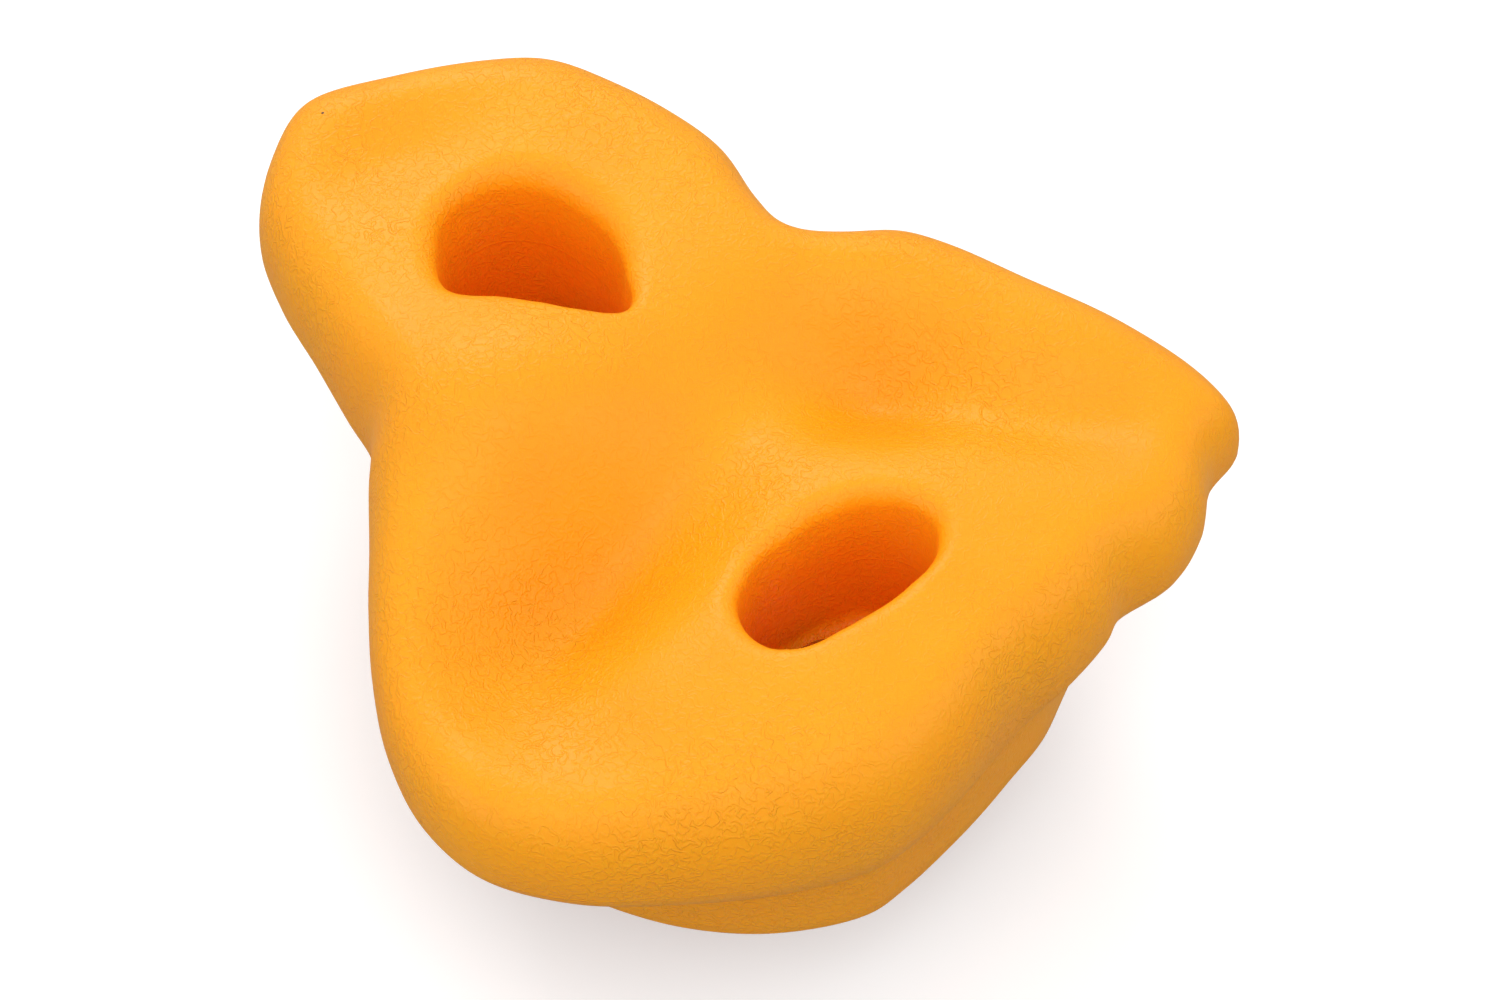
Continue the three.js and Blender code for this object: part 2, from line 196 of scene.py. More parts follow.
def upright_bar(diameter: float, low: float, high: float, at: Vector = CENTRE, sides: int = 64,
                flare: float = 0) -> Shape:
    """Builds a closed upright round bar.

    Args:
        diameter: its diameter, halfway up.
        low: height of its lower end.
        high: height of its upper end.
        at: place of its axis.
        sides: number of sides.
        flare: what its radius gains at the upper end and loses at the lower end.

    Returns:
        The bar's mesh.
    """
    shape = bmesh.new()
    place = Matrix.Translation((at.x, at.y, (low + high) / 2))
    bmesh.ops.create_cone(shape, cap_ends=True, segments=sides, radius1=diameter / 2 - flare,
                          radius2=diameter / 2 + flare, depth=high - low, matrix=place)
    return shape


def block(low: Sequence[float], high: Sequence[float]) -> Shape:
    """Builds a closed box between two corners."""
    shape = bmesh.new()
    size = Matrix.Diagonal((*[b - a for a, b in zip(low, high)], 1))
    place = Matrix.Translation([(a + b) / 2 for a, b in zip(low, high)])
    bmesh.ops.create_cube(shape, size=1, matrix=place @ size)
    return shape


def turned(profile: Sequence[Pair], steps: int = 64) -> Shape:
    """Turns a profile of radius and height round the Z axis.

    Args:
        profile: a chain of points, closed on itself or with both ends on the axis.
        steps: steps of the full turn.

    Returns:
        The turned mesh.
    """
    shape = bmesh.new()
    points = [shape.verts.new((radius, 0, height)) for radius, height in profile]
    pairs = zip(points, points[1:] + ([points[0]] if profile[0][0] > 0 else []))
    chain = [shape.edges.new(pair) for pair in pairs]
    bmesh.ops.spin(shape, geom=points + chain, axis=(0, 0, 1), cent=(0, 0, 0), angle=math.tau,
                   steps=steps, use_merge=True)
    return closed(shape)


# The moulding's form


def smooth_loop(points: np.ndarray, steps: int) -> np.ndarray:
    """Runs a closed centripetal spline through points.

    Args:
        points: the points, one row each.
        steps: places on each stretch between two points.

    Returns:
        The places along the whole loop.
    """
    before, here, there, beyond = (np.roll(points, shift, axis=0) for shift in (1, 0, -1, -2))
    gaps = [np.linalg.norm(b - a, axis=1)[:, None] ** 0.5
            for a, b in ((before, here), (here, there), (there, beyond))]
    leave = gaps[1] * ((here - before) / gaps[0] - (there - before) / (gaps[0] + gaps[1])
                       + (there - here) / gaps[1])
    arrive = gaps[1] * ((there - here) / gaps[1] - (beyond - here) / (gaps[1] + gaps[2])
                        + (beyond - there) / gaps[2])
    share = (np.arange(steps) / steps)[None, :, None]
    stretches = (here[:, None] + leave[:, None] * share
                 + (3 * (there - here) - 2 * leave - arrive)[:, None] * share ** 2
                 + (2 * (here - there) + leave + arrive)[:, None] * share ** 3)
    return stretches.reshape(-1, points.shape[1])


def bearing_loop(rows: Rows, column: int, reach: float, steps: int) -> np.ndarray:
    """Runs a smooth loop through a table's bearings and the reaches in one of its columns.

    Args:
        rows: the table, with bearings in degrees in its first column.
        column: the column of the reaches.
        reach: the length that the reaches are shares of.
        steps: places for each row of the table.

    Returns:
        The places along the loop, seen from above.
    """
    table = np.array(rows)
    bearing = np.radians(table[:, 0])
    arm = table[:, column] * reach
    return smooth_loop(np.stack([arm * np.cos(bearing), arm * np.sin(bearing)], axis=1), steps)


def widened(loop: np.ndarray, by: float) -> np.ndarray:
    """Moves each place of a loop straight away from the loop's centre."""
    return loop + loop / np.linalg.norm(loop, axis=1)[:, None] * by


def depth_inside(points: np.ndarray, loop: np.ndarray) -> np.ndarray:
    """Measures how deep each place lies inside a closed loop, without a crease anywhere.

    Each stretch of the loop counts by its nearness cubed. Beside a straight edge that gives
    the plain distance.

    Args:
        points: places seen from above.
        loop: the corners of the loop.

    Returns:
        One depth for each place, nothing on the loop itself.
    """
    least = (1e-3 * MM) ** 2
    nearness = np.zeros(len(points))
    for start, end in zip(loop, np.roll(loop, -1, axis=0)):
        length = math.hypot(*(end - start))
        arm = points - start
        passed = arm @ (end - start) / length
        reach = np.sum(arm ** 2, axis=1)
        onward = np.sum((points - end) ** 2, axis=1)
        ends = passed / np.sqrt(reach + least) + (length - passed) / np.sqrt(onward + least)
        nearness += ends / np.maximum(reach - passed ** 2, least)
    return np.sqrt(np.maximum(2 / nearness - 2 * least, 0))


@dataclass
class Pocket:
    """One of the two finger pockets, each with a bolt at its bottom."""

    rows: Rows
    centre: np.ndarray
    reach: float
    floor: float
    draft: float

    def mouth(self, points: np.ndarray) -> tuple[np.ndarray, np.ndarray, np.ndarray]:
        """Finds the mouth on the bearing of each point.

        Args:
            points: places seen from above.

        Returns:
            Bearing, reach of the mouth and rounding of its rim.
        """
        arm = points - self.centre
        bearing = np.arctan2(arm[:, 1], arm[:, 0])
        table = np.array(sorted(self.rows))
        turn = np.degrees(bearing)
        after = np.searchsorted(table[:, 0], turn)
        count = len(table)
        before, here, there, beyond = (table[(after + k) % count] for k in (-2, -1, 0, 1))
        span = (there[:, 0] - here[:, 0]) % 360
        share = ((turn - here[:, 0]) % 360) / span
        eased = []
        for column in (1, 2):
            step = there[:, column] - here[:, column]
            leave = (there[:, column] - before[:, column]) / 2
            arrive = (beyond[:, column] - here[:, column]) / 2
            bend = (1 - share) * (leave - step) + share * (step - arrive)
            eased.append((here[:, column] + share * step + share * (1 - share) * bend) * self.reach)
        return bearing, eased[0], np.maximum(eased[1], 0)


@dataclass
class HoldForm:
    """The moulding's sizes, and the height of its face at any place."""

    reach: float = 93 * MM
    height: float = 55 * MM
    plateau: float = 46 * MM
    parting: float = 27 * MM
    lip_reach: float = 11 * MM
    underlip_drop: float = 9 * MM
    lip_fullness: float = 2.3
    skirt_wall: float = 4 * MM
    roof: float = 4.5 * MM
    boss_wall: float = 4 * MM
    rib: float = 3 * MM
    rib_pitch: float = 18.5 * MM
    pad_diameter: float = 14 * MM
    seat: float = 6 * MM
    ledge: float = 9 * MM
    deep_draft: float = 2.5
    oval_draft: float = 1.5
    bolt_hole: float = 9 * MM
    well: float = 16.8 * MM
    bolt_spacing: float = 76 * MM
    outline_rows: Rows = (
        (-172, 1.005, 0.71), (178, 0.945, 0.7), (168, 0.892, 0.67), (160, 0.848, 0.635),
        (152, 0.764, 0.58), (144, 0.686, 0.525), (136, 0.613, 0.48), (128, 0.522, 0.44),
        (120, 0.481, 0.425), (111, 0.51, 0.44), (102, 0.577, 0.485), (93, 0.624, 0.525),
        (82, 0.688, 0.57), (70, 0.81, 0.625), (60, 0.93, 0.67), (55, 0.967, 0.695),
        (50, 0.914, 0.71), (44, 0.903, 0.72), (38, 0.87, 0.725), (32, 0.8, 0.73),
        (28, 0.795, 0.73), (21, 0.772, 0.735), (13, 0.742, 0.732), (7, 0.748, 0.738),
        (1, 0.768, 0.748), (-8, 0.797, 0.772), (-14, 0.807, 0.787), (-26, 0.812, 0.773),
        (-38, 0.822, 0.747), (-50, 0.846, 0.717), (-61, 0.852, 0.695), (-70, 0.818, 0.665),
        (-79, 0.757, 0.625), (-88, 0.69, 0.575), (-98, 0.627, 0.535), (-108, 0.583, 0.505),
        (-119, 0.562, 0.495), (-130, 0.56, 0.495), (-138, 0.62, 0.52), (-146, 0.708, 0.56),
        (-152, 0.808, 0.6), (-158, 0.905, 0.64), (-165, 0.97, 0.68),
    )
    deep_rows: Rows = (
        (15, 0.205, 0.03), (40, 0.165, 0.045), (70, 0.145, 0.055), (110, 0.14, 0.06),
        (147, 0.165, 0.06), (175, 0.185, 0.055), (-160, 0.19, 0.05), (-135, 0.175, 0.05),
        (-100, 0.165, 0.045), (-65, 0.118, 0.035), (-31, 0.122, 0.03), (-8, 0.155, 0.03),
    )
    oval_rows: Rows = (
        (0, 0.104, 0.03), (38, 0.124, 0.035), (73, 0.185, 0.04), (92, 0.188, 0.045),
        (113, 0.16, 0.05), (146, 0.12, 0.05), (-170, 0.11, 0.05), (-126, 0.15, 0.045),
        (-107, 0.175, 0.045), (-84, 0.185, 0.04), (-66, 0.172, 0.035), (-33, 0.12, 0.03),
    )
    deep_centre: Pair = (-0.42, -0.02)
    oval_centre: Pair = (0.402, 0.01)
    divider_shares: Rows = ((-0.175, -0.25), (-0.1, -0.03), (-0.15, 0.2))
    relief_rows: Rows = (
        (-0.21, -0.22, 0.28, 0.2, 54, 0.17, 1),
        (0.13, -0.3, 0.3, 0.145, 98, -0.28, 1),
        (0.32, -0.52, 0.19, 0.15, -10, -0.07, 1),
        (0.11, 0.31, 0.16, 0.13, 45, -0.22, 1),
        (0.36, 0.49, 0.22, 0.1, 42, -0.09, 1),
        (0, 0.1, 0.2, 0.14, 100, -0.07, 1),
        (0.58, 0.05, 0.38, 0.36, 90, 0.04, 2),
        (0.57, -0.1, 0.14, 0.11, 100, 0.03, 1),
        (-0.75, -0.09, 0.16, 0.1, 80, -0.06, 1),
        (0.69, 0.42, 0.12, 0.05, 35, -0.02, 1),
        (0.7, 0.17, 0.12, 0.05, 12, -0.02, 1),
    )
    upper_notch: float = 120
    lower_notch: float = -119
    outline_steps: int = 12
    pockets: list[Pocket] = field(init=False)
    edge: np.ndarray = field(init=False)

    def __post_init__(self) -> None:
        """Works out the pockets and a fine copy of the outline."""
        centres = self.deep_centre, self.oval_centre
        deep, oval = (np.array(centre) * self.reach for centre in centres)
        self.pockets = [
            Pocket(self.deep_rows, deep, self.reach, self.seat, self.deep_draft),
            Pocket(self.oval_rows, oval, self.reach, self.ledge, self.oval_draft),
        ]
        self.edge = self.loop(Line.OUTLINE, self.outline_steps)

    def loop(self, line: Line, steps: int) -> np.ndarray:
        """Runs the outline or the skirt, clockwise seen from above."""
        return bearing_loop(self.outline_rows, line.value, self.reach, steps)

    def relief(self, points: np.ndarray) -> np.ndarray:
        """Gives the height of the face before its lip and rims are rounded."""
        height = np.full(len(points), self.plateau)
        for x, y, long, short, turn, rise, edge in self.relief_rows:
            arm = points - np.array([x, y]) * self.reach
            ahead = np.array([math.cos(math.radians(turn)), math.sin(math.radians(turn))])
            along = arm @ ahead / (long * self.reach)
            across = (arm[:, 1] * ahead[0] - arm[:, 0] * ahead[1]) / (short * self.reach)
            height += rise * self.height * np.exp(-(along ** 2 + across ** 2) ** edge)
        return height

    def face(self, points: np.ndarray) -> np.ndarray:
        """Gives the height of the finished face at each place."""
        inland = np.clip(depth_inside(points, self.edge) / self.lip_reach, 0, 1)
        roll = (1 - (1 - inland) ** self.lip_fullness) ** (1 / self.lip_fullness)
        height = self.parting + (self.relief(points) - self.parting) * roll
        for pocket in self.pockets:
            _, mouth, rounding = pocket.mouth(points)
            past = np.hypot(*(points - pocket.centre).T) - mouth
            inward = np.clip(rounding - np.maximum(past, 0), 0, None)
            height -= np.where(past < rounding,
                               rounding - np.sqrt(np.maximum(rounding ** 2 - inward ** 2, 0)), 0)
        return height


# The moulding's mesh


def at_height(points: np.ndarray, height: np.ndarray | float) -> np.ndarray:
    """Puts places seen from above at a height."""
    return np.column_stack([points, np.broadcast_to(height, len(points))])


@dataclass
class HoldMoulding:
    """The one-piece moulding: gripping face, lip, skirt, two pockets and a ribbed hollow back."""

    form: HoldForm
    material: Material
    face_rows: int = 56
    wall_rows: int = 10
    lip_rows: int = 12
    skirt_rows: int = 5
    divider_steps: int = 72
    ceiling_rows: int = 18
    back_steps: int = 6
    boss_steps: int = 8
    floor_insets: Sequence[float] = (4, 3, 2, 1.4)
    floor_turns: Sequence[float] = (0, 18, 36, 54, 72, 90)
    skirt_turns: Sequence[float] = (22.5, 45, 67.5, 90)
    foot_turns: Sequence[float] = (30, 60, 90)
    floor_fillet: float = 2 * MM
    skirt_fillet: float = 2 * MM
    largest_fillet: float = 0.4
    foot_rounding: float = 0.6 * MM
    overrun: float = 2 * MM
    sharp_angle: float = 34

    def pocket_rows(self, pocket: Pocket, rim: np.ndarray) -> np.ndarray:
        """Runs rows from a pocket's floor up its wall and out over the face to a rim.

        Args:
            pocket: the pocket in the middle.
            rim: places round the outer end of the rows.

        Returns:
            The rows of points.
        """
        bearing, reach, _ = pocket.mouth(rim)
        ray = np.stack([np.cos(bearing), np.sin(bearing)], axis=1)
        mouth = pocket.centre + ray * reach[:, None]
        top = self.form.face(mouth)
        slope = math.tan(math.radians(pocket.draft))

        def wall(height: np.ndarray | float, inset: float = 0.0) -> np.ndarray:
            """Places on the drafted wall at a height."""
            arm = reach - (top - height) * slope - inset
            return at_height(pocket.centre + ray * arm[:, None], height)

        rows = [wall(pocket.floor, inset * self.floor_fillet) for inset in self.floor_insets]
        for turn in np.radians(self.floor_turns):
            height = pocket.floor + self.floor_fillet * (1 - math.cos(turn))
            rows.append(wall(height, self.floor_fillet * (1 - math.sin(turn))))
        foot = pocket.floor + self.floor_fillet
        for share in np.linspace(0, 1, self.wall_rows + 1)[1:-1]:
            rows.append(wall(foot + (top - foot) * share))
        for share in (1 - np.cos(np.linspace(0, math.pi, self.face_rows + 1))) / 2:
            points = mouth + (rim - mouth) * share if share < 1 else rim
            rows.append(at_height(points, self.form.face(points)))
        return np.array(rows)

    def outside_rows(self, outline: np.ndarray, skirt: np.ndarray) -> np.ndarray:
        """Runs rows from the parting line under the lip and down the skirt to the wall plane.

        Args:
            outline: the outline seen from above.
            skirt: the skirt's outside, with as many places.

        Returns:
            The rows of points.
        """
        form = self.form
        outward = outline - skirt
        reach = np.linalg.norm(outward, axis=1)
        outward /= reach[:, None]
        fillet = np.minimum(self.skirt_fillet, reach * self.largest_fillet)
        last = np.arccos(fillet / reach)
        rows = []
        for share in np.linspace(0, 1, self.lip_rows + 1):
            out = reach * np.cos(last * share)
            height = form.parting - form.underlip_drop * np.sin(last * share)
            rows.append(at_height(skirt + outward * out[:, None], height))
        low = form.parting - form.underlip_drop * np.sin(last)
        for turn in np.radians(self.skirt_turns):
            out = fillet * (1 - math.sin(turn))
            height = low - fillet * (1 - math.cos(turn))
            rows.append(at_height(skirt + outward * out[:, None], height))
        foot = self.foot_rounding
        for share in np.linspace(1, 0, self.skirt_rows + 1)[1:]:
            rows.append(at_height(skirt, foot + (low - fillet - foot) * share))
        for turn in np.radians(self.foot_turns):
            inset = outward * foot * (1 - math.cos(turn))
            rows.append(at_height(skirt - inset, foot * (1 - math.sin(turn))))
        return np.array(rows)

    def block(self) -> Shape:
        """Builds the moulding as if it were solid."""
        form = self.form
        steps = form.outline_steps
        outline, skirt = form.edge, form.loop(Line.SKIRT, steps)
        turns = [row[0] for row in form.outline_rows]
        upper, lower = turns.index(form.upper_notch) * steps, turns.index(form.lower_notch) * steps
        between = np.array(form.divider_shares) * form.reach
        divider = self.divider(np.vstack([outline[lower], between, outline[upper]]))
        oval_arc = outline[upper:lower + 1][::-1]
        deep_arc = np.vstack([outline[lower:], outline[:upper + 1]])[::-1]
        rims = np.vstack([deep_arc, divider]), np.vstack([oval_arc, divider[::-1]])
        inner = [self.pocket_rows(pocket, rim) for pocket, rim in zip(form.pockets, rims)]
        return tubes(*inner, self.outside_rows(outline, skirt))

    def divider(self, places: np.ndarray) -> np.ndarray:
        """Runs a smooth line between the two notches, where the meshes round the pockets meet.

        Args:
            places: its ends and the places that it passes.

        Returns:
            The places along it, without its ends.
        """
        ends = np.vstack([2 * places[0] - places[1], places, 2 * places[-1] - places[-2]])
        even = np.arange(1, self.divider_steps) / self.divider_steps
        along = (even + (1 - np.cos(math.pi * even)) / 2) / 2 * (len(places) - 1)
        stretch = np.minimum(along.astype(int), len(places) - 2)
        share = (along - stretch)[:, None]
        a, b, c, d = (ends[stretch + k] for k in range(4))
        bend = 2 * a - 5 * b + 4 * c - d + share * (3 * (b - c) + d - a)
        return b + share * (c - a + share * bend) / 2

    def hollow(self) -> Shape:
        """Builds the space inside the skirt, under the roof and between the ribs."""
        form = self.form
        around = widened(form.loop(Line.SKIRT, self.back_steps)[::-1], -form.skirt_wall)
        rows = []
        for share in np.linspace(0, 1, self.ceiling_rows + 1)[1:]:
            points = around * share
            rows.append(at_height(points, form.face(points) - form.roof))
        rows += [at_height(around, height) for height in (0, -self.overrun)]
        shape = tubes(np.array(rows))
        for solid in [self.boss(pocket) for pocket in form.pockets] + self.ribs():
            shape = combined(shape, solid, Carve.CUT)
        return shape

    def boss(self, pocket: Pocket) -> Shape:
        """Builds the wall that stays round a pocket down to the wall plane."""
        form = self.form
        mouth = bearing_loop(pocket.rows, 1, form.reach, self.boss_steps)
        loop = widened(mouth, form.boss_wall) + pocket.centre
        ends = (-2 * self.overrun, form.height + self.overrun)
        return tubes(np.array([at_height(loop, height) for height in ends]))

    def ribs(self) -> list[Shape]:
        """Builds the crossed ribs and the pad where the two middle ribs meet."""
        form = self.form
        low, high = -2 * self.overrun, form.height
        webs = [upright_bar(form.pad_diameter, low, high)]
        count = int(form.reach / form.rib_pitch)
        for k in range(-count, count + 1):
            near, far = (k * form.rib_pitch + side * form.rib / 2 for side in (-1, 1))
            webs.append(block((near, -form.reach, low), (far, form.reach, high)))
            webs.append(block((-form.reach, near, low), (form.reach, far, high)))
        return webs

    def build(self) -> Object:
        """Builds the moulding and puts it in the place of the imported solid.

        Returns:
            The moulding's object.
        """
        form = self.form
        body = combined(self.block(), self.hollow(), Carve.CUT)
        for side in (-1, 1):
            place = Vector((side * form.bolt_spacing / 2, 0, 0))
            hole = upright_bar(form.bolt_hole, -self.overrun, form.plateau, place)
            well = upright_bar(form.well, form.seat, form.ledge + self.overrun, place)
            body = combined(combined(body, hole, Carve.CUT), well, Carve.CUT)
        low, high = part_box("hold_body")
        for vert in body.verts:
            vert.co = np.clip(vert.co, low, high)
        piece = finished_object("hold_moulding", body, self.material, self.sharp_angle)
        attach(piece, Body.HOLD.name_for())
        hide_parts("hold_body")
        return piece


# The fixings


@dataclass
class FixingStack:
    """The bolt, its two washers and its T-nut at one of the two bolt places."""

    number: int
    place: Vector
    material: Material
    seat: float
    seat_gap: float = 0.3 * MM
    bolt_diameter: float = 8 * MM
    bolt_length: float = 40 * MM
    pitch: float = 1.25 * MM
    thread_depth: float = 0.65 * MM
    thread_root: float = 1.6
    thread_foot: float = 0.47
    thread_tip: float = 0.07
    thread_runout: float = 1.4
    thread_steps: int = 40
    head_diameter: float = 14 * MM
    head_height: float = 4.4 * MM
    head_rim: float = 0.8 * MM
    head_flat: float = 7.5 * MM
    tip_chamfer: float = 1.2 * MM
    socket_size: float = 5 * MM
    socket_depth: float = 2.6 * MM
    socket_flare: float = 0.35 * MM
    flat_diameter: float = 16 * MM
    flat_bore: float = 8.6 * MM
    flat_thickness: float = 1.6 * MM
    spring_diameter: float = 13.4 * MM
    spring_bore: float = 8.6 * MM
    spring_thickness: float = 2.1 * MM
    spring_split: float = 0.9 * MM
    split_slant: float = 45
    panel: float = 18 * MM
    flange_diameter: float = 20 * MM
    flange_thickness: float = 1.5 * MM
    barrel_diameter: float = 11 * MM
    barrel_length: float = 9.5 * MM
    barrel_fillet: float = 0.9 * MM
    prong_count: int = 4
    prong_length: float = 8 * MM
    prong_width: float = 5 * MM
    prong_tip: float = 1.6 * MM
    prong_thickness: float = 1.2 * MM
    prong_bevel: float = 0.25 * MM
    thread_gap: float = 0.35 * MM
    edge_rounding: float = 0.3 * MM
    edge_middle: float = 0.3
    fillet_turns: Sequence[float] = (0, 30, 60, 90)
    overlap: float = 1 * MM
    dome_steps: int = 12
    shaft_sides: int = 48
    ring_sides: int = 72
    sharp_angle: float = 30

    def thread(self, low: float, high: float) -> Shape:
        """Winds the thread's closed ridge round the Z axis, from one height up to another."""
        crest = self.bolt_diameter / 2
        root = crest - self.thread_depth * self.thread_root
        foot, tip = self.pitch * self.thread_foot, self.pitch * self.thread_tip
        turns = (high - low) / self.pitch
        shape = bmesh.new()
        section = ((root, -foot), (root, foot), (crest, tip), (crest, -tip))
        corners = [shape.verts.new((radius, 0, low + rise)) for radius, rise in section]
        chain = [shape.edges.new(pair) for pair in zip(corners, corners[1:] + corners[:1])]
        bmesh.ops.spin(shape, geom=corners + chain, axis=(0, 0, 1), cent=(0, 0, 0),
                       angle=math.tau * turns, steps=int(self.thread_steps * turns),
                       dvec=(0, 0, self.pitch / self.thread_steps), use_merge=False)
        return closed(shape)

    def bolt(self) -> Shape:
        """Builds the button-head bolt with its socket and thread, its head's underside at zero."""
        head, shank, length = self.head_diameter / 2, self.bolt_diameter / 2, self.bolt_length
        core, rim, flat = shank - self.thread_depth, self.edge_rounding / 2, self.head_flat / 2
        top, overlap, flare = self.head_height, self.overlap, self.socket_flare
        stub = [(0, -overlap), (core, -overlap), (core, 0), (head - rim, 0), (head, rim)]
        dome = [(flat + (head - flat) * math.cos(turn),
                 self.head_rim + (top - self.head_rim) * math.sin(turn))
                for turn in np.linspace(0, math.pi / 2, self.dome_steps + 1)]
        blank = turned(stub + dome + [(0, top)])
        tip = [(shank - self.tip_chamfer, -length), (shank, self.tip_chamfer - length)]
        envelope = turned([(0, -length)] + tip + [(shank, 0), (0, 0)])
        bar = upright_bar(2 * core, -length, 0, sides=self.shaft_sides)
        ridge = self.thread(-length - self.pitch, -self.thread_runout * self.pitch)
        shaft = combined(combined(bar, ridge, Carve.JOIN), envelope, Carve.TRIM)
        corners = 2 * self.socket_size / math.sqrt(3)
        socket = upright_bar(corners, top - self.socket_depth, top + overlap, sides=6)
        mouth = upright_bar(corners, top - flare, top + flare, sides=self.shaft_sides, flare=flare)
        shape = combined(blank, shaft, Carve.JOIN)
        return combined(combined(shape, socket, Carve.CUT), mouth, Carve.CUT)

    def ring(self, outer: float, inner: float, thickness: float) -> Shape:
        """Builds a flat ring with broken edges, its underside at zero."""
        a, b, r = inner / 2, outer / 2, self.edge_rounding
        cut = r * self.edge_middle
        lower = [(a, r / 2), (a + r / 2, 0), (b - r, 0), (b - cut, cut), (b, r)]
        upper = [(radius, thickness - height) for radius, height in reversed(lower)]
        return turned(lower + upper, self.ring_sides)

    def spring_washer(self) -> Shape:
        """Builds the spring washer, pressed flat, with its slanted split."""
        reach = self.spring_diameter
        cut = bmesh.new()
        size = Matrix.Diagonal((reach, self.spring_split, 2 * reach, 1))
        tilt = Matrix.Rotation(math.radians(self.split_slant), 4, "X")
        place = Matrix.Translation((reach / 2, 0, self.spring_thickness / 2))
        bmesh.ops.create_cube(cut, size=1, matrix=place @ tilt @ size)
        return combined(self.ring(reach, self.spring_bore, self.spring_thickness), cut, Carve.CUT)

    def pronged_nut(self) -> Shape:
        """Builds the T-nut, the front of its flange at zero."""
        flange, barrel, rim = self.flange_diameter / 2, self.barrel_diameter / 2, self.edge_rounding
        thick, long = self.flange_thickness, self.barrel_length
        bore = self.bolt_diameter / 2 + self.thread_gap
        plate = [(bore, rim - thick), (bore + rim, -thick), (flange - rim, -thick),
                 (flange, rim - thick), (flange, -rim), (flange - rim, 0)]
        fillet = self.barrel_fillet
        root = [(barrel + fillet * (1 - math.sin(turn)), fillet * (1 - math.cos(turn)))
                for turn in np.radians(self.fillet_turns)]
        end = [(barrel, long - rim), (barrel - rim, long), (bore + rim, long), (bore, long - rim)]
        shape = turned(plate + root + end, self.ring_sides)
        for k in range(self.prong_count):
            shape = combined(shape, self.prong(k * math.tau / self.prong_count), Carve.JOIN)
        return shape

    def prong(self, turn: float) -> Shape:
        """Builds one of the nut's prongs, turned to its place on the flange."""
        prong = bmesh.new()
        made = bmesh.ops.create_cube(prong, size=1)
        low, high = -self.flange_thickness / 2, self.prong_length
        middle = self.flange_diameter / 2 - self.prong_thickness
        for vert in made["verts"]:
            width = self.prong_tip if vert.co.z > 0 else self.prong_width
            vert.co = Vector((vert.co.x * width, -middle + vert.co.y * self.prong_thickness,
                              high if vert.co.z > 0 else low))
        edges = [edge for edge in prong.edges if max(vert.co.z for vert in edge.verts) > 0]
        bmesh.ops.bevel(prong, geom=edges, offset=self.prong_bevel, offset_type="OFFSET",
                        segments=2, profile=0.5, affect="EDGES", material=-1)
        bmesh.ops.rotate(prong, verts=prong.verts, cent=CENTRE,
                         matrix=Matrix.Rotation(turn, 3, "Z"))
        bmesh.ops.recalc_face_normals(prong, faces=prong.faces)
        return prong

    def place_piece(self, stem: str, node: str, shape: Shape, height: float,
                    body: Body) -> Object:
        """Puts a piece at its height on the bolt's axis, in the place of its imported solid.

        Args:
            stem: first words of the piece's name.
            node: first words of the node that it stands for.
            shape: the piece's mesh, freed here.
            height: where its own zero height goes.
            body: the body that it rides on.

        Returns:
            The piece's object.
        """
        place = self.place + Vector((0, 0, height))
        bmesh.ops.translate(shape, verts=shape.verts, vec=place)
        piece = finished_object(f"{stem}_{self.number}", shape, self.material, self.sharp_angle)
        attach(piece, body.name_for(self.number))
        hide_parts(f"{node}_{self.number}")
        return piece

    def build(self) -> list[Object]:
        """Builds the two washers and the bolt from the seat up, and the nut behind the panel.

        Returns:
            The four pieces.
        """
        flat = self.ring(self.flat_diameter, self.flat_bore, self.flat_thickness)
        flat_low = self.seat + self.seat_gap
        spring_low = flat_low + self.flat_thickness + self.seat_gap
        head_low = spring_low + self.spring_thickness + self.seat_gap
        pieces = (
            ("plain_washer", "flat_washer", flat, flat_low, Body.WASHERS),
            ("split_washer", "spring_washer", self.spring_washer(), spring_low, Body.WASHERS),
            ("button_bolt", "bolt", self.bolt(), head_low, Body.BOLT),
            ("pronged_nut", "t_nut", self.pronged_nut(), -self.panel, Body.HOLD),
        )
        return [self.place_piece(*piece) for piece in pieces]


# The finishes


